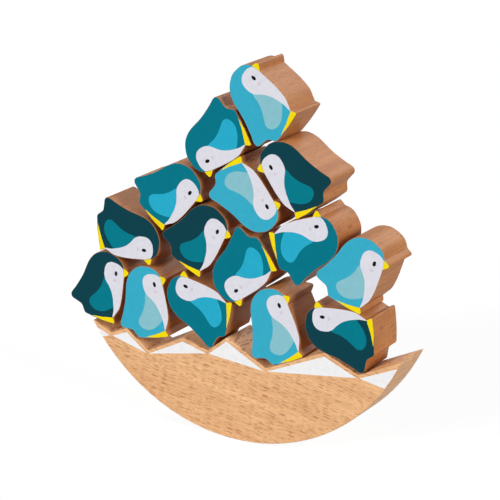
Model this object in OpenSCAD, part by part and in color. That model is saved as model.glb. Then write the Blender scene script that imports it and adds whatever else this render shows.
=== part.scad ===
// Stacking balance game: a wooden rocker with a saw edge, and fifteen wooden penguins stacked on it.
// X runs along the rocker, Y from its front face to its back face, and Z is up.
// The origin is on the floor, under the middle of the whole game.

/* [Board] */
// Thickness of the beech board that every piece is cut from
board_t = 31; // [20:1:45]

/* [Rocker] */
// Length of the rocker from one horn tip to the other
rocker_l = 245; // [220:1:270]
// Height of the rocker from its lowest line to its horn tips
rocker_h = 72.9; // [55:0.1:90]
// Depth of the deep notches below the horn tips
saw_d = 18.5; // [10:0.5:22]
// How far the rocker leans while the penguins are put on, in degrees
lean = 3.9; // [0:0.1:6]

/* [Penguins] */
// Height of a penguin from its feet to the top of its head
penguin_h = 52.1; // [46:0.1:60]
// Space left between a penguin and what it stands on
clearance = 0.15; // [0.1:0.05:0.3]

/* [Print] */
// Thickness of one printed coat of colour
print_t = 0.15; // [0.1:0.05:0.3]
// Bare wood left between the print and the edge of a penguin
rim = 0.3; // [0.1:0.1:0.9]
// Drop of the white fields below the notches of the saw edge
notch_drop = 2; // [1:0.1:4]
// Drop of the white fields below the peaks of the saw edge
peak_drop = 2.8; // [1.5:0.1:4]
// Half of the gap between two white fields, at a notch
field_gap = 1; // [0.5:0.1:2]

/* [Hidden] */
// Steps of a smooth curve between two of its knots
steps = 3;
wood = [0.87, 0.68, 0.48];
white = [0.93, 0.92, 0.94];
yellow = [0.96, 0.85, 0.08];
black = [0.04, 0.04, 0.04];

// Coat and wing colour of each kind of penguin
coats = [
    ["sky", [0.24, 0.69, 0.80], [0.55, 0.78, 0.82]],
    ["teal", [0.00, 0.46, 0.53], [0.20, 0.69, 0.80]],
    ["navy", [0.06, 0.26, 0.31], [0.00, 0.48, 0.53]],
];

// Corners of the saw edge, in hundredths of the half length and of the notch depth
saw = [
    [-100, 0], [-87.9, 42.5], [-76.7, 16], [-63.1, 93.3], [-38.4, 21.9], [-22.4, 59.4],
    [-9.1, -2.4], [14.9, 95.9], [53, 2.6], [73.2, 70.3], [100, 0],
];

// The flock in the order that it is stacked in. Seat: one number is a corner of the saw edge, and two
// are the penguins that carry this one. Shift: from the seat's middle, in hundredths of the height.
// Turn: degrees anticlockwise, seen from the front. Side: -1 for a penguin that is turned round.
// Way: degrees from straight above that it comes in from, on the right, as where it slides under a head.
flock = [
    // name, seat, shift, turn, side, way
    ["sky_penguin_1", [3], -2, 14, 1, 0],
    ["navy_penguin_1", [0], 16.5, -7, 1, 0],
    ["teal_penguin_1", [5], -48, 79, 1, 40],
    ["sky_penguin_2", [7], 12.5, 26, 1, 0],
    ["navy_penguin_2", [9], -27, 96, 1, 0],
    ["navy_penguin_3", [0, 1], 9, -84, 1, 0],
    ["teal_penguin_2", [2, 3], 8.5, 125, -1, 0],
    ["navy_penguin_4", [0, 6], 10.5, -26, 1, 0],
    ["sky_penguin_3", [4, 4], 20.5, -18, 1, 0],
    ["teal_penguin_3", [6, 8], 12.5, -72, -1, 0],
    ["teal_penguin_4", [5, 7], 12, -40, 1, 0],
    ["sky_penguin_4", [7, 9], -7, -144, -1, 0],
    ["navy_penguin_5", [11, 9], 23, 34, -1, 0],
    ["teal_penguin_5", [10, 11], 10.5, 118, -1, 0],
    ["sky_penguin_5", [13, 12], 9, 56, 1, 0],
];

// Knots of the penguin's outline, clockwise from the top of the beak, in hundredths of its height
// from the middle of its body. A third value of 1 marks a corner.
beak_knots = [[32.6, 34.2, 1], [37.7, 32], [41.4, 29], [36.5, 23.2], [33.9, 21.2, 1]];
breast_knots = [[33.8, 3.9], [33.1, -10.9], [30.7, -25.2], [25.8, -34.6]];
feet_knots = [[22.3, -40.5, 1], [26.2, -49, 1], [3, -49.4]];
tail_knots = [[-17.4, -48], [-24.3, -46.2], [-30.3, -37], [-38.9, -33.8], [-46.4, -31.3], [-48.4, -24.8]];
back_knots = [[-41.2, -12.2], [-32.2, 6.2], [-24.5, 28.3]];
head_knots = [[-15.9, 40.7], [-5.5, 47.1], [6, 49.6], [20.1, 46.6], [27.5, 41.7]];
body_knots = concat(beak_knots, breast_knots, feet_knots, tail_knots, back_knots, head_knots);
// Knots of the body at which the beak ends, and at which the feet start and end
beak_end = len(beak_knots) - 1;
feet_start = len(beak_knots) + len(breast_knots);
feet_end = feet_start + len(feet_knots) - 1;

// Inner edge of the white face and breast, from the feet up to the beak
face_knots = [
    [21, -39.3, 1], [21.8, -30.4], [20.8, -21.6], [19, -12.8], [15.6, -4.1], [11, 2.9],
    [5.8, 8.9], [3, 14.4], [2.1, 20.8], [2.8, 28], [5.9, 33.8], [12, 37.3],
    [19.2, 37.6], [25.9, 36.2], [31.8, 32.4, 1],
];
// Wing, from its tip: its right side lies under the white
wing_knots = [
    [4.5, 15.4, 1], [1.4, 8.3], [-1.1, -0.5], [-6.7, -10.4], [-13.6, -18.5], [-17.6, -24],
    [-17.7, -30.2], [-12.8, -35.5], [-4.3, -38.1], [6.1, -35.8], [15, -30.7], [23.5, -24.1, 1],
    [23.8, -15.8], [20.5, -2.8], [10.3, 9.5],
];
// Upper edge of the feet, from their sharp end
feet_edge = [[-12.5, -47], [4, -44.8]];
// Middle of the eye, and half of its width and height
eye = [[20.9, 23.1], [2.3, 3.6]];

// Smooth curves through knots
function flat(k) = [k.x, k.y];
function leaving(a, b, c) = b[2] == 1 ? 0.6 * flat(c - b) : flat(c - a) / 2;
function arriving(b, c, d) = c[2] == 1 ? 0.6 * flat(c - b) : flat(d - b) / 2;
function blend(b, c, m, n, t) = (2 * t ^ 3 - 3 * t ^ 2 + 1) * flat(b) + (t ^ 3 - 2 * t ^ 2 + t) * m
    + (3 * t ^ 2 - 2 * t ^ 3) * flat(c) + (t ^ 3 - t ^ 2) * n;
function pad(knots) = [for (k = knots) [k.x, k.y, k[2] == 1 ? 1 : 0]];
function span(k, i) = let (n = len(k), a = k[(i + n - 1) % n], b = k[i], c = k[(i + 1) % n], d = k[(i + 2) % n])
    [for (s = [0 : steps - 1]) blend(b, c, leaving(a, b, c), arriving(b, c, d), s / steps)];
function closed(knots) = let (k = pad(knots)) [for (i = [0 : len(k) - 1]) each span(k, i)];
function open(knots) = let (k = pad(knots)) concat([for (i = [0 : len(k) - 2]) each span(k, i)], [flat(k[len(k) - 1])]);
function sized(points) = points * penguin_h / 100;

// Outline moved inwards, and a stretch of an outline between two of its knots
function inwards(a, b) = let (d = b - a) [d.y, -d.x] / norm(d);
function inset(o, d) = let (n = len(o)) [for (i = [0 : n - 1]) o[i] + d * inwards(o[(i + n - 1) % n], o[(i + 1) % n])];
function stretch(o, from, to, gap = 0) = [for (i = [from * steps + gap : to * steps - gap]) o[i]];

body_outline = sized(closed(body_knots));
print_outline = inset(body_outline, rim);
beak_outline = stretch(print_outline, 0, beak_end);
feet_outline = concat(stretch(print_outline, feet_start, feet_end), sized(feet_edge));
face_outline = concat(stretch(print_outline, beak_end, feet_start, 1), sized(open(face_knots)));
wing_outline = sized(closed(wing_knots));
eye_outline = sized([for (a = [0 : 30 : 330]) eye[0] + [eye[1].x * cos(a), eye[1].y * sin(a)]]);

// The rocker's arc and its saw edge, from the middle of the arc
rocker_r = ((rocker_l / 2) ^ 2 + rocker_h ^ 2) / (2 * rocker_h);
horn_z = rocker_h - rocker_r;
function corner(i) = [saw[i].x * rocker_l / 200, horn_z - saw[i].y * saw_d / 100];
saw_line = [for (i = [0 : len(saw) - 1]) corner(i)];
last = len(saw) - 1;
// The outermost edges run on past the arc, which cuts them off at the horn tips
overrun = 0.4;
left_end = saw_line[0] + overrun * (saw_line[0] - saw_line[1]);
right_end = saw_line[last] + overrun * (saw_line[last] - saw_line[last - 1]);

// Outlines in place: turned about the middle of the arc, or set on the stack
function turned(points, a) = [for (p = points) [p.x * cos(a) - p.y * sin(a), p.x * sin(a) + p.y * cos(a)]];
function backwards(points) = [for (i = [len(points) - 1 : -1 : 0]) points[i]];
function facing(points, side) = side > 0 ? points : backwards([for (p = points) [-p.x, p.y]]);
function placed(at, turn, side) = [for (p = turned(facing(body_outline, side), turn)) p + at];
leaning_saw = turned(saw_line, lean);

// How far one outline falls before it touches another: corners over edges, and edges over corners
function pairs(o) = [for (i = [0 : len(o) - 1]) [o[i], o[(i + 1) % len(o)]]];
function upper_edges(o) = [for (e = pairs(o)) if (e[0].x < e[1].x) e];
function lower_edges(o) = [for (e = pairs(o)) if (e[1].x < e[0].x) [e[1], e[0]]];
function height_at(e, x) = e[0].y + (e[1].y - e[0].y) * (x - e[0].x) / (e[1].x - e[0].x);
function over(e, x) = x >= e[0].x && x <= e[1].x;
function beside(a, b) = max([for (p = a) p.x]) < min([for (p = b) p.x]) || min([for (p = a) p.x]) > max([for (p = b) p.x]);
function falls(lows, tops) = concat(
    [for (l = lows, p = l, t = tops) if (over(t, p.x)) p.y - height_at(t, p.x)],
    [for (t = tops, p = t, l = lows) if (over(l, p.x)) height_at(l, p.x) - p.y]);

// The stack, one penguin after another: each comes in from afar until it meets what lies there, and
// then sinks straight down on it
afar = 10 * penguin_h;
function seat_at(seat, done) = len(seat) == 1 ? leaning_saw[seat[0]] : (done[seat[0]][0] + done[seat[1]][0]) / 2;
function fall(o, lying) = let (lows = lower_edges(o))
    min([for (l = lying) if (!beside(o, l)) for (f = falls(lows, upper_edges(l))) if (f > 0) f]) - clearance;
function settle(i, done) = let (
        row = flock[i],
        way = row[5],
        back_out = [sin(way), cos(way)],
        lying = concat([leaning_saw], [for (d = done) d[1]]),
        start = seat_at(row[1], done) + row[2] * penguin_h / 100 * [cos(way), -sin(way)] + afar * back_out,
        slide = fall(turned(placed(start, row[3], row[4]), way), [for (l = lying) turned(l, way)]),
        met = start - slide * back_out,
        at = met - [0, fall(placed(met, row[3], row[4]), lying)])
    [at, placed(at, row[3], row[4])];
function stack(i, done) = i == len(flock) ? done : stack(i + 1, concat(done, [settle(i, done)]));
stacked = stack(0, []);

// Area of an outline and its first moments
function cross2(a, b) = a.x * b.y - a.y * b.x;
function sum(values) = [for (v = values) 1] * values;
function area(o) = sum([for (e = pairs(o)) cross2(e[0], e[1])]) / 2;
function moment(o) = sum([for (e = pairs(o)) cross2(e[0], e[1]) * (e[0] + e[1])]) / 6;

// The loaded rocker rolls until its centre of mass hangs under the middle of its arc
half_angle = asin(rocker_l / 2 / rocker_r);
segment_moment = [0, -2 / 3 * rocker_r ^ 3 * sin(half_angle) ^ 3];
rocker_moment = segment_moment - moment(saw_line);
load_moment = sum([for (s = stacked) moment(backwards(s[1]))]);
all_moment = turned([rocker_moment], lean)[0] + load_moment;
roll = atan(all_moment.x / all_moment.y);

// Sideways middle of the rolled game
rolled = turned(concat(leaning_saw, [for (s = stacked) each s[1]]), roll);
middle_x = (min([for (p = rolled) p.x]) + max([for (p = rolled) p.x])) / 2;

// The whole game, rolled about the middle of its arc and stood on the floor
module game() {
    translate([-middle_x, 0, rocker_r]) rotate([0, -roll, 0]) children();
}

// A flat shape cut through the board and standing upright. Each coat of print adds to both faces.
module cut(points, coats_of_print = 0) {
    rotate([90, 0, 0]) linear_extrude(height = board_t + 2 * coats_of_print * print_t, center = true) polygon(points);
}

module disc(r, coats_of_print = 0) {
    rotate([90, 0, 0]) cylinder(r = r, h = board_t + 2 * coats_of_print * print_t, center = true, $fn = 180);
}

// White field under one tooth of the saw edge, between two of its notches
module tooth_field(i) {
    cut([saw_line[i] + [field_gap, -notch_drop], saw_line[i + 1] - [0, peak_drop],
        saw_line[i + 2] - [field_gap, notch_drop]], 1);
}

// White field under a horn, from the notch beside it out past the arc
module horn_field(notch, horn_end, out) {
    corner_at = saw_line[notch] + [out * field_gap, -notch_drop];
    cut([corner_at, horn_end - [0, 2 * notch_drop], [corner_at.x + out * 2 * saw_d, corner_at.y - saw_d / 2]], 1);
}

module rocker() {
    game() rotate([0, -lean, 0]) {
        color(wood) intersection() {
            disc(rocker_r);
            cut(concat([left_end], [for (i = [1 : last - 1]) saw_line[i]],
                [right_end, [right_end.x, -rocker_r - 1], [left_end.x, -rocker_r - 1]]));
        }
        color(white) intersection() {
            disc(rocker_r - rim, 1);
            union() {
                for (i = [1 : 2 : last - 3]) tooth_field(i);
                horn_field(1, left_end, -1);
                horn_field(last - 1, right_end, 1);
            }
        }
    }
}

module penguin(i) {
    row = flock[i];
    colours = [for (c = coats) if (c[0] == [for (l = [0 : len(c[0]) - 1]) row[0][l]]) c];
    game() translate([stacked[i][0].x, 0, stacked[i][0].y]) rotate([0, -row[3], 0]) rotate([0, 0, row[4] > 0 ? 0 : 180]) {
        color(wood) cut(body_outline);
        color(colours[0][1]) cut(print_outline, 1);
        color(colours[0][2]) cut(wing_outline, 2);
        color(yellow) cut(beak_outline, 2);
        color(yellow) cut(feet_outline, 2);
        color(white) cut(face_outline, 3);
        color(black) cut(eye_outline, 4);
    }
}

rocker();
for (i = [0 : len(flock) - 1]) penguin(i);
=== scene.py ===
# Wooden balance game: a beech rocker with a saw edge, and fifteen printed penguins stacked on it
import math
import random
import bpy
from mathutils import Matrix, Vector
from mathutils.geometry import delaunay_2d_cdt


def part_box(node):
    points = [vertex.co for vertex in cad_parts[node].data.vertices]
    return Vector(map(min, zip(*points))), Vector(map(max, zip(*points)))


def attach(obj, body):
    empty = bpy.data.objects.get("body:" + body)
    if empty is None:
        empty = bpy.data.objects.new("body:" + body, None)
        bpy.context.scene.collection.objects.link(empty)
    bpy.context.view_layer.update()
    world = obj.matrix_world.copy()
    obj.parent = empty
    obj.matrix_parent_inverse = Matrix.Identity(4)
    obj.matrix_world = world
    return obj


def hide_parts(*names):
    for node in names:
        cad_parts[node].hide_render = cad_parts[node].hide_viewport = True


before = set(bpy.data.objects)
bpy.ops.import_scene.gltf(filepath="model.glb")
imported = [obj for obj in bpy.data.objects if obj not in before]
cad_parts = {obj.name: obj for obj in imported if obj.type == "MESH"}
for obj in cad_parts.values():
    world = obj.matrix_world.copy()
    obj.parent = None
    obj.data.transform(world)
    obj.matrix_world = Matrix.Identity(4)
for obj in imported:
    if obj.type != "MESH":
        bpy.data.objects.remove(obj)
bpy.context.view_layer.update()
print("frame loaded:", len(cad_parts), "pieces")

mm = 0.001
boardThickness = 31 * mm
rollTurn = 0.8159   # degrees that the loaded rocker rolls to its balance


def paint(red, green, blue):
    # screen values from 0 to 255 as the linear colour that Blender's sockets hold
    def linear(value):
        value /= 255
        return value / 12.92 if value <= 0.04045 else ((value + 0.055) / 1.055) ** 2.4
    return (linear(red), linear(green), linear(blue), 1.0)


def addNode(tree, kind, at, **settings):
    # each setting goes to the socket of that name, or else to the node itself
    node = tree.nodes.new(kind)
    node.location = at
    for name, value in settings.items():
        if name in node.inputs:
            node.inputs[name].default_value = value
        else:
            setattr(node, name, value)
    return node


def feed(tree, socket, value):
    # a socket takes a plain value, or a link from another node
    if isinstance(value, (int, float, tuple)):
        socket.default_value = value
    else:
        tree.links.new(value, socket)


def stretched(tree, vector, sizes, at):
    # the board's own coordinates, counted in steps of these sizes in mm
    mapping = addNode(tree, "ShaderNodeMapping", at, Scale=tuple(1000 / size for size in sizes))
    tree.links.new(vector, mapping.inputs["Vector"])
    return mapping.outputs["Vector"]


def remap(tree, value, span, result, at):
    node = addNode(tree, "ShaderNodeMapRange", at)
    for name, number in zip(("From Min", "From Max", "To Min", "To Max"), (*span, *result)):
        node.inputs[name].default_value = number
    tree.links.new(value, node.inputs["Value"])
    return node.outputs["Result"]


def maths(tree, operation, first, second, at):
    node = addNode(tree, "ShaderNodeMath", at, operation=operation)
    for socket, value in zip(node.inputs, (first, second)):
        feed(tree, socket, value)
    return node.outputs["Value"]


mixFactor, mixFirst, mixSecond, mixResult = 0, 6, 7, 2   # where a Mix node keeps its colour sockets


def blendColours(tree, factor, first, second, at, way="MIX"):
    node = addNode(tree, "ShaderNodeMix", at, data_type="RGBA", blend_type=way)
    for place, value in ((mixFactor, factor), (mixFirst, first), (mixSecond, second)):
        feed(tree, node.inputs[place], value)
    return node.outputs[mixResult]


colourSocket, valueSocket, vectorSocket = "NodeSocketColor", "NodeSocketFloat", "NodeSocketVector"
surfaceOutputs = {"Colour": colourSocket, "Roughness": valueSocket, "Height": valueSocket}


def newGroup(name, inputs):
    # the group, the sockets that bring its inputs in, and the node that takes its outputs
    group = bpy.data.node_groups.new(name, "ShaderNodeTree")
    for way, sockets in (("INPUT", inputs), ("OUTPUT", surfaceOutputs)):
        for socketName, kind in sockets.items():
            group.interface.new_socket(name=socketName, in_out=way, socket_type=kind)
    source = addNode(group, "NodeGroupInput", (-1200, 0))
    sink = addNode(group, "NodeGroupOutput", (900, 0))
    return group, [source.outputs[socketName] for socketName in inputs], sink


beechLook = {
    # sizes in mm: along the grain, through the board, across the grain
    "band": (70.0, 90.0, 7.0),       # soft growth bands
    "fibre": (9.0, 1.0, 0.5),        # fine fibres
    "fleck": (8.0, 9.0, 0.62),       # the dark rays that mark beech
    "dash": (4.5, 9.0, 0.8),         # small rays between them
    "shine": (6.0, 10.0, 1.1),       # paler streaks
    "saw": (1.6, 60.0, 1.2),         # streaks that the saw leaves on a cut side
    "pore": (0.9, 0.5, 0.4),
    "bandDetail": 4.0, "fibreDetail": 5.0, "sawDetail": 3.0, "noiseRoughness": 0.58,
    # how far from its middle a spot is full, and where it ends
    "fleckEdge": (0.3, 0.4), "dashEdge": (0.24, 0.36), "shineEdge": (0.15, 0.5), "poreEdge": (0.12, 0.36),
    "spotChance": (0.25, 0.95),      # a cell has no spot below the first, a full one above the second
    "dashShare": 0.7, "shineShare": 0.4, "poreShare": 0.3,
    # the part of each noise that counts, and what it becomes
    "bandSpan": (0.34, 0.66), "fibreSpan": (0.25, 0.75), "sawSpan": (0.3, 0.7), "roughSpan": (0.2, 0.8),
    "fibreTone": (0.82, 1.17), "sawTone": (-0.16, 0.1), "roughness": (0.46, 0.6),
    "poreHeight": -0.5, "fleckHeight": -0.35,
}


def buildBeechGrain(look):
    # bare beech: soft bands, fine fibres, dark and pale rays, pores, and the saw's streaks on a cut side
    group, inputs, sink = newGroup("beechGrain", {
        "Board Place": vectorSocket, "Light Wood": colourSocket, "Dark Wood": colourSocket,
        "Fleck Colour": colourSocket, "Fleck Amount": valueSocket, "Saw Amount": valueSocket})
    place, lightWood, darkWood, fleckColour, fleckAmount, sawAmount = inputs

    def texture(kind, name, at, **settings):
        node = addNode(group, kind, at, Scale=1.0, **settings)
        group.links.new(stretched(group, place, look[name], (at[0] - 200, at[1])), node.inputs["Vector"])
        return node

    def noise(name, at):
        detail, roughness = look[name + "Detail"], look["noiseRoughness"]
        return texture("ShaderNodeTexNoise", name, at, Detail=detail, Roughness=roughness).outputs["Fac"]

    def spots(name, at):
        # spots of one size, each with its own strength
        x, y = at
        node = texture("ShaderNodeTexVoronoi", name, at, Randomness=1.0)
        shape = remap(group, node.outputs["Distance"], look[name + "Edge"], (1.0, 0.0), (x + 200, y))
        chance = addNode(group, "ShaderNodeSeparateColor", (x + 200, y - 160))
        group.links.new(node.outputs["Color"], chance.inputs[0])
        strength = remap(group, chance.outputs[0], look["spotChance"], (0.0, 1.0), (x + 380, y - 160))
        return maths(group, "MULTIPLY", shape, strength, (x + 380, y))

    bandTone = remap(group, noise("band", (-900, 500)), look["bandSpan"], (0.0, 1.0), (-700, 500))
    fibres = noise("fibre", (-900, 200))
    sawn = noise("saw", (-900, -100))
    rays = spots("fleck", (-900, -400))
    dashes = maths(group, "MULTIPLY", spots("dash", (-900, -1300)), look["dashShare"], (-300, -1300))
    flecks = maths(group, "MAXIMUM", rays, dashes, (-300, -400))
    shine = maths(group, "MULTIPLY", spots("shine", (-900, -700)), look["shineShare"], (0, -700))
    pores = spots("pore", (-900, -1000))
    poreMix = maths(group, "MULTIPLY", pores, look["poreShare"], (0, -1000))
    fleckMix = maths(group, "MULTIPLY", flecks, fleckAmount, (0, -400))

    wood = blendColours(group, bandTone, lightWood, darkWood, (-300, 500))
    fibreTone = remap(group, fibres, look["fibreSpan"], look["fibreTone"], (-500, 200))
    sawTone = remap(group, sawn, look["sawSpan"], look["sawTone"], (-500, 0))
    sawTone = maths(group, "MULTIPLY", sawTone, sawAmount, (-320, 0))
    tone = maths(group, "ADD", fibreTone, sawTone, (-140, 100))
    toned = blendColours(group, 1.0, wood, tone, (0, 400), "MULTIPLY")
    paler = blendColours(group, shine, toned, lightWood, (180, 300))
    pored = blendColours(group, poreMix, paler, fleckColour, (360, 200))
    group.links.new(blendColours(group, fleckMix, pored, fleckColour, (540, 100)), sink.inputs["Colour"])
    roughness = remap(group, fibres, look["roughSpan"], look["roughness"], (180, -100))
    group.links.new(roughness, sink.inputs["Roughness"])

    poreHeight = maths(group, "MULTIPLY", pores, look["poreHeight"], (180, -900))
    fleckHeight = maths(group, "MULTIPLY", flecks, look["fleckHeight"], (180, -1050))
    sunk = maths(group, "ADD", poreHeight, fleckHeight, (360, -900))
    sawHeight = maths(group, "MULTIPLY", sawn, sawAmount, (360, -600))
    raised = maths(group, "ADD", sawHeight, fibres, (540, -600))
    group.links.new(maths(group, "ADD", sunk, raised, (720, -700)), sink.inputs["Height"])
    return group


paintLook = {
    "mottleScale": 260.0, "mottleRoughness": 0.6, "detail": 4.0, "fibreRoughness": 0.55,
    "mottleSpan": (0.3, 0.7), "mottleTone": (0.96, 1.03),
    "fibreSpan": (0.25, 0.75), "fibreTone": (-0.045, 0.045),
    "roughSpan": (0.25, 0.75), "roughness": (0.4, 0.52),
}


def buildPaintCoat(look):
    # a thin printed coat: even colour, a faint mottle, and the wood's fibres just showing through
    group, inputs, sink = newGroup("paintCoat", {
        "Board Place": vectorSocket, "Paint": colourSocket, "Grain Show": valueSocket})
    place, colour, grainShow = inputs
    mottle = addNode(group, "ShaderNodeTexNoise", (-700, 200), Scale=look["mottleScale"],
                     Detail=look["detail"], Roughness=look["mottleRoughness"])
    group.links.new(place, mottle.inputs["Vector"])
    fibres = addNode(group, "ShaderNodeTexNoise", (-700, -100), Scale=1.0,
                     Detail=look["detail"], Roughness=look["fibreRoughness"])
    group.links.new(stretched(group, place, beechLook["fibre"], (-900, -100)), fibres.inputs["Vector"])

    cloudy = remap(group, mottle.outputs["Fac"], look["mottleSpan"], look["mottleTone"], (-500, 200))
    grainTone = remap(group, fibres.outputs["Fac"], look["fibreSpan"], look["fibreTone"], (-500, -100))
    shown = maths(group, "MULTIPLY", grainTone, grainShow, (-320, -100))
    tone = maths(group, "ADD", cloudy, shown, (-140, 60))
    group.links.new(blendColours(group, 1.0, colour, tone, (60, 100), "MULTIPLY"), sink.inputs["Colour"])
    roughness = remap(group, mottle.outputs["Fac"], look["roughSpan"], look["roughness"], (60, -150))
    group.links.new(roughness, sink.inputs["Roughness"])
    height = maths(group, "MULTIPLY", fibres.outputs["Fac"], grainShow, (60, -300))
    group.links.new(height, sink.inputs["Height"])
    return group


beechGrain = buildBeechGrain(beechLook)
paintCoat = buildPaintCoat(paintLook)


def finishMaterial(name, group, values, finish):
    # one material: its effect group, a soft relief, and how much the surface shines
    material = bpy.data.materials.new(name)
    material.use_nodes = True
    tree = material.node_tree
    shader = tree.nodes["Principled BSDF"]
    shader.inputs["IOR"].default_value = finish["ior"]
    shader.inputs["Specular IOR Level"].default_value = finish["gloss"]
    place = addNode(tree, "ShaderNodeAttribute", (-900, 0), attribute_name="boardPlace")
    effect = addNode(tree, "ShaderNodeGroup", (-600, 0), node_tree=group)
    tree.links.new(place.outputs["Vector"], effect.inputs["Board Place"])
    for socket, value in values.items():
        effect.inputs[socket].default_value = value
    bump = addNode(tree, "ShaderNodeBump", (-250, -250),
                   Strength=finish["relief"], Distance=finish["reliefDepth"])
    tree.links.new(effect.outputs["Height"], bump.inputs["Height"])
    tree.links.new(effect.outputs["Colour"], shader.inputs["Base Color"])
    tree.links.new(effect.outputs["Roughness"], shader.inputs["Roughness"])
    tree.links.new(bump.outputs["Normal"], shader.inputs["Normal"])
    return material


# clear lacquer on bare wood, and matt print
woodFinish = {"ior": 1.46, "gloss": 0.3, "relief": 0.35, "reliefDepth": 0.12 * mm}
printFinish = {"ior": 1.46, "gloss": 0.07, "relief": 0.25, "reliefDepth": 0.05 * mm}

frontBeech = finishMaterial("rockerBeech", beechGrain, {
    "Light Wood": paint(241, 191, 140), "Dark Wood": paint(226, 171, 122),
    "Fleck Colour": paint(166, 94, 45), "Fleck Amount": 0.95, "Saw Amount": 0.2}, woodFinish)
# the penguins' bare wood is the same beech, set darker and more orange than the rocker's as painted shade
# of the sawn sides that face away from the front light; the stronger saw streaks belong to the cut itself
sideBeechPaintedShade = finishMaterial("penguinBeechPaintedShade", beechGrain, {
    "Light Wood": paint(193, 129, 75), "Dark Wood": paint(173, 108, 58),
    "Fleck Colour": paint(140, 82, 46), "Fleck Amount": 0.55, "Saw Amount": 0.7}, woodFinish)

printColours = {
    "white": paint(224, 223, 232), "fieldWhite": paint(243, 243, 244), "yellow": paint(247, 221, 10),
    "eye": paint(10, 10, 12), "cheek": paint(219, 203, 217),
    "skyCoat": paint(56, 173, 201), "skyWing": paint(137, 195, 206),
    "tealCoat": paint(0, 117, 135), "tealWing": paint(40, 172, 204),
    "navyCoat": paint(6, 61, 72), "navyWing": paint(0, 122, 138),
}
fibresThrough = 0.6   # how much of the wood's fibres the print lets through
prints = {}
for name, colour in printColours.items():
    values = {"Paint": colour, "Grain Show": fibresThrough}
    prints[name] = finishMaterial(name + "Print", paintCoat, values, printFinish)
print("materials ready:", len(bpy.data.materials))


cornerPull = 0.6   # how strongly a curve sets off from a corner, or comes in to one


def leaving(before, here, after):
    return (after[0] - here[0]) * cornerPull if here[1] else (after[0] - before[0]) / 2


def arriving(before, here, after):
    return (here[0] - before[0]) * cornerPull if here[1] else (after[0] - before[0]) / 2


def smoothCurve(knots, spacing, closed=True):
    # a smooth curve through the knots, with a corner at a knot that has a third value
    # marks holds the number of each knot's own point
    knots = [(Vector(knot[:2]), len(knot) > 2) for knot in knots]
    points, marks = [], []
    count = len(knots)
    for i in range(count if closed else count - 1):
        a, b, c, d = (knots[(i + k) % count] for k in (-1, 0, 1, 2))
        start, end = leaving(a, b, c), arriving(b, c, d)
        marks.append(len(points))
        steps = max(2, round((c[0] - b[0]).length / spacing))
        for step in range(steps):
            t = step / steps
            points.append((2 * t ** 3 - 3 * t ** 2 + 1) * b[0] + (t ** 3 - 2 * t ** 2 + t) * start
                          + (3 * t ** 2 - 2 * t ** 3) * c[0] + (t ** 3 - t ** 2) * end)
    if not closed:
        marks.append(len(points))
        points.append(knots[-1][0])
    return points, marks


boardLook = {   # what every sawn board shares
    "sharpest": 0.2,            # keeps a sharp corner from running far inward
    "longestCut": 0.8,          # the share of the way to the next point that a softened corner may take
    "cornerSteps": 4,
    "mergeWithin": 1e-6,        # metres
    "logReach": (3, 0.01, 3),   # metres: each board's place in the log is drawn at random within these
}


def inwardSide(a, b):
    along = (b - a).normalized()
    return Vector((along.y, -along.x))   # outlines run clockwise


def insetOutline(points, distance):
    result = []
    count = len(points)
    for i, here in enumerate(points):
        first, second = inwardSide(points[i - 1], here), inwardSide(here, points[(i + 1) % count])
        spread = max(boardLook["sharpest"], 1 + first.dot(second))
        result.append(here + (first + second) * distance / spread)
    return result


def roundedCorner(start, here, end, t):
    return (1 - t) ** 2 * start + 2 * t * (1 - t) * here + t ** 2 * end


def softenCorners(points, corners, cut):
    # each named corner becomes a small curve, as sanding leaves it
    result = []
    count, steps, longest = len(points), boardLook["cornerSteps"], boardLook["longestCut"]
    for i, here in enumerate(points):
        if i not in corners:
            result.append(here)
            continue
        ways = points[i - 1] - here, points[(i + 1) % count] - here
        start, end = (here + way.normalized() * min(cut, way.length * longest) for way in ways)
        result.extend(roundedCorner(start, here, end, step / steps) for step in range(steps + 1))
    return result


def roundCorner(points, corner, reach):
    # a corner becomes a curve that starts and ends a few points away from it, in place
    first, last = corner - reach - 1, corner + reach + 1
    start, here, end = points[first].copy(), points[corner].copy(), points[last].copy()
    for i in range(first + 1, last):
        points[i] = roundedCorner(start, here, end, (i - first) / (last - first))


def anticlockwise(points):
    turning = sum(points[i - 1].cross(point) for i, point in enumerate(points))
    return list(points) if turning > 0 else list(points)[::-1]


def edgeRings(outline, corners, look):
    # loops from the printed face down to the sawn side, each with its distance from the board's middle
    soft, cut, half = look["edgeRadius"], look["cornerCut"], boardThickness / 2
    rings = []
    for step in range(look["edgeSteps"] + 1):
        angle = math.pi / 2 * step / look["edgeSteps"]
        loop = softenCorners(insetOutline(outline, soft * (1 - math.sin(angle))), corners, cut)
        rings.append((loop, half - soft * (1 - math.cos(angle))))
    loop, depth = rings[-1]
    return rings + [(loop, depth - soft)]   # a second loop keeps the sawn side flat in the light


def cutFace(cap, fields):
    # the board's face in triangles, with every field's outline cut into it
    count = len(cap)
    plan, faces = list(cap), [list(range(count))[::-1]]
    for points, _ in fields:
        faces.append(list(range(len(plan), len(plan) + len(points))))
        plan.extend(anticlockwise(points))
    merge = boardLook["mergeWithin"]
    flat, _, triangles, sources, _, owners = delaunay_2d_cdt(plan, [], faces, 1, merge, True)
    rimPoints, rimCuts = {}, {}   # points of the rim, and new ones where a field runs off the edge
    for number, origins in enumerate(sources):
        for origin in origins:
            if origin < count:
                rimPoints[number] = origin
        for i in range(0 if origins else count):
            along, offset = cap[(i + 1) % count] - cap[i], flat[number] - cap[i]
            share = offset.dot(along) / along.length_squared
            if 0 < share < 1 and (offset - share * along).length < merge:
                rimCuts.setdefault(i, []).append((share, number))
    return flat, triangles, owners, rimPoints, rimCuts


bareWood, rockerField = 0, 1   # material numbers
coatPrint, wingPrint, yellowPrint, whitePrint, cheekPrint, eyePrint = range(1, 7)


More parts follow.
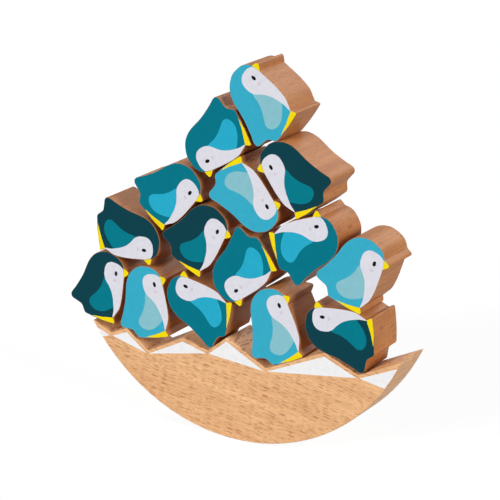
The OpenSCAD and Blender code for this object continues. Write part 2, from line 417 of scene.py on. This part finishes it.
def boardPiece(name, outline, corners, fields, look):
    # a flat board cut to an outline: rounded edges, and printed fields on both faces
    # fields: (outline, material number) from the lowest coat to the highest
    rings = edgeRings(outline, corners, look)
    cap, half = rings[0]
    count = len(cap)
    flat, triangles, owners, rimPoints, rimCuts = cutFace(cap, fields)

    vertices, polygons, numbers, rims = [], [], [], []
    layers = [(ring, -depth) for ring, depth in rings] + rings[::-1]
    lastLayer = len(layers) - 1
    for ring, depth in layers:
        vertices.extend((point.x, depth, point.y) for point in ring)
    for front in (True, False):
        ringStart, depth = (0, -half) if front else (lastLayer * count, half)
        index = {number: ringStart + origin for number, origin in rimPoints.items()}
        for triangle, owner in zip(triangles, owners):
            if 0 not in owner:   # a part of a field that lies off the board
                continue
            for number in triangle:
                if number not in index:
                    index[number] = len(vertices)
                    vertices.append((flat[number].x, depth, flat[number].y))
            corner = [index[number] for number in triangle]
            polygons.append(tuple(corner if front else corner[::-1]))
            numbers.append(max([bareWood] + [fields[k - 1][1] for k in owner if k > 0]))
        rims.append(index)
    printedFaces = len(polygons)
    for layer in range(lastLayer):
        low, high = layer * count, (layer + 1) * count
        for i in range(count):
            j = (i + 1) % count
            cuts = [number for _, number in sorted(rimCuts.get(i, []))]
            frontCuts = [rims[0][number] for number in cuts] if layer == 0 else []
            backCuts = [rims[1][number] for number in cuts[::-1]] if layer == lastLayer - 1 else []
            polygons.append((low + i, *frontCuts, low + j, high + j, *backCuts, high + i))
    sawnFaces = len(polygons) - printedFaces

    mesh = bpy.data.meshes.new(name)
    mesh.from_pydata(vertices, [], polygons)
    mesh.polygons.foreach_set("material_index", numbers + [bareWood] * sawnFaces)
    mesh.polygons.foreach_set("use_smooth", [False] * printedFaces + [True] * sawnFaces)
    mesh.validate()
    mesh.update()
    return mesh


def markBoardPlace(mesh, grainTurn, seed):
    # where in the wood each point was cut from: along the grain, through the board, across the grain
    rng = random.Random(seed)
    shift = Vector([rng.uniform(-reach, reach) for reach in boardLook["logReach"]])
    turn = math.radians(grainTurn)
    cosine, sine = math.cos(turn), math.sin(turn)
    attribute = mesh.attributes.new("boardPlace", "FLOAT_VECTOR", "POINT")
    for vertex, value in zip(mesh.vertices, attribute.data):
        x, y, z = vertex.co
        value.vector = Vector((x * cosine + z * sine, y, z * cosine - x * sine)) + shift


def addPiece(name, mesh, materials, node):
    piece = bpy.data.objects.new(name, mesh)
    bpy.context.scene.collection.objects.link(piece)
    for material in materials:
        mesh.materials.append(material)
    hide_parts(node)
    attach(piece, "root")
    return piece


def turnInPlane(degrees):
    return Matrix.Rotation(math.radians(-degrees), 4, "Y")   # anticlockwise, seen from the front


rockerSettings = {
    "length": 245 * mm, "height": 72.9 * mm, "sawDepth": 18.5 * mm,
    "lean": 3.9,             # degrees, before the roll
    "arcX": 3.7947 * mm,     # the arc's middle, to the right of the game's middle
    # along: hundredths of half the length; down from the tips: hundredths of the saw's depth
    "saw": [(-100, 0), (-87.9, 42.5), (-76.7, 16), (-63.1, 93.3), (-38.4, 21.9), (-22.4, 59.4),
            (-9.1, -2.4), (14.9, 95.9), (53, 2.6), (73.2, 70.3), (100, 0)],
    "notchDrop": 2.0 * mm, "peakDrop": 2.8 * mm, "fieldGap": 1.0 * mm,   # bare wood round the fields
    "overTip": 0.4,          # how far the outer fields run past the tips, as a share of the last slope
    "outerAcross": 2, "outerDown": 0.5,   # their lower corners, in shares of the saw's depth
    "grainTurn": -12.5,      # degrees
    "seed": 4,               # draws the board's place in the log
    "arcSpacing": 1.5 * mm, "edgeRadius": 0.5 * mm, "edgeSteps": 4, "cornerCut": 0.7 * mm,
}


def arcRadius(look):
    return ((look["length"] / 2) ** 2 + look["height"] ** 2) / (2 * look["height"])


def buildRocker(look):
    radius = arcRadius(look)
    hornZ = look["height"] - radius
    saw = [Vector((x * look["length"] / 200, hornZ - z * look["sawDepth"] / 100)) for x, z in look["saw"]]
    tip = math.atan2(saw[-1].y, saw[-1].x)
    sweep = -math.pi - 2 * tip
    steps = round(abs(sweep) * radius / look["arcSpacing"])
    turns = [tip + sweep * k / steps for k in range(2, steps - 1)]   # a step is left free beside each tip
    outline = saw + [Vector((math.cos(turn), math.sin(turn))) * radius for turn in turns]
    corners = set(range(len(saw)))

    # a white field under each tooth between two notches, and one that runs off the board at each tip
    fields = []
    notch, peak = Vector((0, look["notchDrop"])), Vector((0, look["peakDrop"]))
    gap = Vector((look["fieldGap"], 0))
    for i in range(1, len(saw) - 2, 2):
        fields.append(([saw[i] + gap - notch, saw[i + 1] - peak, saw[i + 2] - gap - notch], rockerField))
    for tipAt, notchAt, out in ((0, 1, -1), (-1, -2, 1)):
        start = saw[notchAt] + out * gap - notch
        end = saw[tipAt] + look["overTip"] * (saw[tipAt] - saw[notchAt]) - 2 * notch
        low = start + Vector((out * look["outerAcross"], -look["outerDown"])) * look["sawDepth"]
        fields.append(([start, end, low], rockerField))

    mesh = boardPiece("rocker", outline, corners, fields, look)
    markBoardPlace(mesh, look["grainTurn"], look["seed"])
    mesh.transform(Matrix.Translation((look["arcX"], 0, radius)) @ turnInPlane(look["lean"] + rollTurn))
    return addPiece("sawEdgeRocker", mesh, [frontBeech, prints["fieldWhite"]], "rocker")


rocker = buildRocker(rockerSettings)
print("rocker built:", len(rocker.data.polygons), "faces")


penguinSettings = {
    "height": 52.1 * mm, "spacing": 0.5 * mm,
    "slack": 0.04 * mm,      # drawn in all round, to stay clear of the neighbours
    "bareRim": 0.03 * mm,    # wood that shows round the print
    "printShift": 0.02 * mm,
    "edgeRadius": 0.15 * mm, "edgeSteps": 3, "cornerCut": 0.4 * mm,
    "footReach": 4, "beakReach": 2,   # points on each side that the rounding of foot and beak takes in
    "spotSteps": 28,         # corners of an eye or a cheek
    "firstSeed": 11,
    # from here on in hundredths of the penguin's height, as the knots below
    "eye": (20.9, 23.1), "eyeSize": (2.3, 3.6), "cheek": (19.8, 13.2), "cheekSize": (2.8, 2.0),
    "feetTip": (-12.5, -47.2), "feetMiddle": (4, -44.8), "printSpacing": 1.0,
}

# knots from the middle of the body, clockwise; a third value marks a corner
bodyKnots = [
    (32.6, 34.2, 1), (37.7, 32), (41.4, 29), (36.5, 23.2), (33.9, 21.2, 1),             # beak
    (33.8, 3.9), (33.1, -10.9), (30.7, -25.2), (25.8, -34.6),                           # breast
    (22.3, -40.5, 1), (26.2, -49, 1), (3, -49.4),                                       # feet
    (-17.4, -48), (-24.3, -46.2), (-30.3, -37),                                         # rump
    (-38.9, -33.8), (-46.4, -31.3), (-48.4, -24.8),                                     # tail
    (-41.2, -12.2), (-32.2, 6.2), (-24.5, 28.3),                                        # back
    (-15.9, 40.7), (-5.5, 47.1), (6, 49.6), (20.1, 46.6), (27.5, 41.7),                 # head
]
beakTop, beakTip, beakLow, feetTop, footTip, soleMiddle = 0, 2, 4, 9, 10, 11   # places in bodyKnots
faceKnots = [
    (21, -39.3, 1), (21.8, -30.4), (20.8, -21.6), (19, -12.8), (15.6, -4.1), (11, 2.9),
    (5.8, 8.9), (3, 14.4), (2.1, 20.8), (2.8, 28), (5.9, 33.8), (12, 37.3),
    (19.2, 37.6), (25.9, 36.2), (31.8, 32.4, 1),
]
wingKnots = [
    (4.5, 15.4, 1), (1.4, 8.3), (-1.1, -0.5), (-6.7, -10.4), (-13.6, -18.5), (-17.6, -24),
    (-17.7, -30.2), (-12.8, -35.5), (-4.3, -38.1), (6.1, -35.8), (15, -30.7), (23.5, -24.1, 1),
    (23.8, -15.8), (20.5, -2.8), (10.3, 9.5),
]

# by CAD node: degrees anticlockwise, side (-1 is turned round), and the grain's direction in degrees
flock = {
    "sky_penguin_1": (14, 1, -6),
    "navy_penguin_1": (-7, 1, 9),
    "teal_penguin_1": (79, 1, 4),
    "sky_penguin_2": (26, 1, -3),
    "navy_penguin_2": (96, 1, 5),
    "navy_penguin_3": (-84, 1, -8),
    "teal_penguin_2": (125, -1, 2),
    "navy_penguin_4": (-26, 1, 7),
    "sky_penguin_3": (-18, 1, -5),
    "teal_penguin_3": (-72, -1, 3),
    "teal_penguin_4": (-40, 1, -9),
    "sky_penguin_4": (-144, -1, 6),
    "navy_penguin_5": (34, -1, -2),
    "teal_penguin_5": (118, -1, 8),
    "sky_penguin_5": (56, 1, -4),
}


def ellipse(middle, sizes, steps):
    (x, y), (across, upward) = middle, sizes
    turns = [-2 * math.pi * k / steps for k in range(steps)]
    return [Vector((x + across * math.cos(turn), y + upward * math.sin(turn))) for turn in turns]


def penguinFields(outline, marks, scale, shift, look):
    # the coat reaches nearly to the edge, and the face, beak and feet follow it there
    edge = [point + shift for point in insetOutline(outline, look["edgeRadius"] + look["bareRim"])]

    def stretch(start, end):
        return edge[marks[start]:marks[end] + 1]

    def printed(points):
        return [point * scale + shift for point in points]

    def spot(name):
        return printed(ellipse(look[name], look[name + "Size"], look["spotSteps"]))

    beak = stretch(beakTop, beakLow)
    feet = stretch(feetTop, soleMiddle) + printed([Vector(look["feetTip"]), Vector(look["feetMiddle"])])
    face = stretch(beakLow, feetTop) + printed(smoothCurve(faceKnots, look["printSpacing"], False)[0])
    wing = printed(smoothCurve(wingKnots, look["printSpacing"])[0])
    return [(edge, coatPrint), (wing, wingPrint), (beak, yellowPrint), (feet, yellowPrint),
            (face, whitePrint), (spot("cheek"), cheekPrint), (spot("eye"), eyePrint)]


def buildPenguin(node, turn, side, grain, look, seed):
    scale = look["height"] / 100
    outline, marks = smoothCurve(bodyKnots, look["spacing"] / scale)
    corners = {marks[i] for i, knot in enumerate(bodyKnots) if len(knot) > 2 and i != footTip}
    outline = insetOutline([point * scale for point in outline], look["slack"])
    sawn = [Vector((point.x, 0, point.y)) for point in outline]
    roundCorner(outline, marks[footTip], look["footReach"])
    roundCorner(outline, marks[beakTip], look["beakReach"])

    # the print sits a hair off centre on each piece
    rng = random.Random(seed)
    shift = Vector((rng.uniform(-1, 1), rng.uniform(-1, 1))) * look["printShift"]
    mesh = boardPiece(node, outline, corners, penguinFields(outline, marks, scale, shift, look), look)
    markBoardPlace(mesh, grain, seed)

    # set it where the CAD piece stands
    facing = Matrix.Rotation(0 if side > 0 else math.pi, 4, "Z")
    pose = turnInPlane(turn + rollTurn) @ facing
    mesh.transform(pose)
    low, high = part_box(node)
    xs, zs = [(pose @ point).x for point in sawn], [(pose @ point).z for point in sawn]
    middleX = (low[0] + high[0] - min(xs) - max(xs)) / 2
    middleZ = (low[2] + high[2] - min(zs) - max(zs)) / 2
    mesh.transform(Matrix.Translation((middleX, 0, middleZ)))

    kind = node.split("_")[0]
    materials = [sideBeechPaintedShade, prints[kind + "Coat"], prints[kind + "Wing"], prints["yellow"],
                 prints["white"], prints["cheek"], prints["eye"]]
    return addPiece(kind + "Penguin" + node[-1], mesh, materials, node)


for seed, (node, (turn, side, grain)) in enumerate(flock.items(), penguinSettings["firstSeed"]):
    penguin = buildPenguin(node, turn, side, grain, penguinSettings, seed)
print("penguins built:", len(flock), "with", len(penguin.data.polygons), "faces each")


white = (1, 1, 1, 1)
stageSettings = {
    "floorSize": 12.0,
    "floorShade": 0.2,      # the part that takes the shadow
    "floorLift": 0.88,      # the white added to it
    "floorBounce": 0.25,    # what the floor throws back on the object
    "worldLight": 0.015,
    "lamps": {   # where each comes from, its power, and how far it spreads in degrees
        "keyLamp": ((-0.3, -1.0, 0.45), 2.7, 25.0),
        "rightLamp": ((1.0, -0.18, 0.36), 2.2, 20.0),
        "backLamp": ((0.1, 1.0, 0.5), 1.3, 40.0),
    },
}


def seenDirectly(tree, at):
    # 1 for what is seen straight on, in a gloss or through glass, 0 for light that falls on the object
    x, y = at
    rays = addNode(tree, "ShaderNodeLightPath", at)
    seen = rays.outputs["Is Camera Ray"]
    seen = maths(tree, "MAXIMUM", seen, rays.outputs["Is Glossy Ray"], (x + 200, y))
    return maths(tree, "MAXIMUM", seen, rays.outputs["Is Transmission Ray"], (x + 400, y))


def buildFloor(look):
    half = look["floorSize"] / 2
    mesh = bpy.data.meshes.new("floor")
    corners = [(-half, -half, 0), (half, -half, 0), (half, half, 0), (-half, half, 0)]
    mesh.from_pydata(corners, [], [(0, 1, 2, 3)])
    floor = bpy.data.objects.new("floor", mesh)
    bpy.context.scene.collection.objects.link(floor)
    material = bpy.data.materials.new("paleFloor")
    material.use_nodes = True
    tree = material.node_tree
    tree.nodes.clear()
    shade, bounce = look["floorShade"], look["floorBounce"]
    seenMatt = addNode(tree, "ShaderNodeBsdfDiffuse", (-300, 0), Color=(shade, shade, shade, 1))
    lift = addNode(tree, "ShaderNodeEmission", (-300, -150), Color=white, Strength=look["floorLift"])
    unseenMatt = addNode(tree, "ShaderNodeBsdfDiffuse", (-100, 250), Color=(bounce, bounce, bounce, 1))
    both = addNode(tree, "ShaderNodeAddShader", (-100, -50))
    choice = addNode(tree, "ShaderNodeMixShader", (100, 0))
    output = addNode(tree, "ShaderNodeOutputMaterial", (300, 0))
    tree.links.new(seenMatt.outputs[0], both.inputs[0])
    tree.links.new(lift.outputs[0], both.inputs[1])
    tree.links.new(seenDirectly(tree, (-800, 250)), choice.inputs[0])
    tree.links.new(unseenMatt.outputs[0], choice.inputs[1])
    tree.links.new(both.outputs[0], choice.inputs[2])
    tree.links.new(choice.outputs[0], output.inputs["Surface"])
    mesh.materials.append(material)


def buildWorld(look):
    world = bpy.data.worlds.new("paleStudio")
    bpy.context.scene.world = world
    world.use_nodes = True
    tree = world.node_tree
    background = tree.nodes["Background"]
    background.inputs["Color"].default_value = white
    strength = remap(tree, seenDirectly(tree, (-800, 0)), (0, 1), (look["worldLight"], 1.0), (-200, 0))
    tree.links.new(strength, background.inputs["Strength"])


def addLamp(name, comesFrom, power, spread):
    # a broad soft light from one side, the same all over the stage
    lamp = bpy.data.lights.new(name, "SUN")
    lamp.energy = power
    lamp.angle = math.radians(spread)
    body = bpy.data.objects.new(name, lamp)
    bpy.context.scene.collection.objects.link(body)
    body.location = comesFrom
    body.rotation_euler = (-Vector(comesFrom)).to_track_quat("-Z", "Y").to_euler()


cameraSettings = {
    # from the arc's middle on the front face, before the roll
    "offset": (706.3 * mm, -1118.4 * mm, 424.9 * mm),
    "pan": 31.82, "tilt": 17.94, "turn": -0.08,   # degrees
    "focal": 150.75, "sensor": 36.0,              # mm, as Blender counts them
    "farthest": 50,                               # metres
}


def buildCamera(look, arcX, arcZ):
    pan, tilt, turn = (math.radians(look[name]) for name in ("pan", "tilt", "turn"))
    ahead = Vector((-math.sin(pan) * math.cos(tilt), math.cos(pan) * math.cos(tilt), -math.sin(tilt)))
    right = Vector((math.cos(pan), math.sin(pan), 0))
    up = right.cross(ahead)
    right, up = right * math.cos(turn) + up * math.sin(turn), up * math.cos(turn) - right * math.sin(turn)
    facing = Matrix((right, up, -ahead)).transposed().to_4x4()
    data = bpy.data.cameras.new("photoCamera")
    data.lens = look["focal"]
    data.sensor_width = look["sensor"]
    data.clip_end = look["farthest"]
    camera = bpy.data.objects.new("photoCamera", data)
    bpy.context.scene.collection.objects.link(camera)
    arcMiddle = Matrix.Translation((arcX, -boardThickness / 2, arcZ))
    camera.matrix_world = arcMiddle @ turnInPlane(rollTurn) @ Matrix.Translation(look["offset"]) @ facing
    bpy.context.scene.camera = camera


buildFloor(stageSettings)
buildWorld(stageSettings)
for name, (comesFrom, power, spread) in stageSettings["lamps"].items():
    addLamp(name, comesFrom, power, spread)
buildCamera(cameraSettings, rockerSettings["arcX"], arcRadius(rockerSettings))
bpy.context.scene.view_settings.view_transform = "Standard"
print("stage ready")
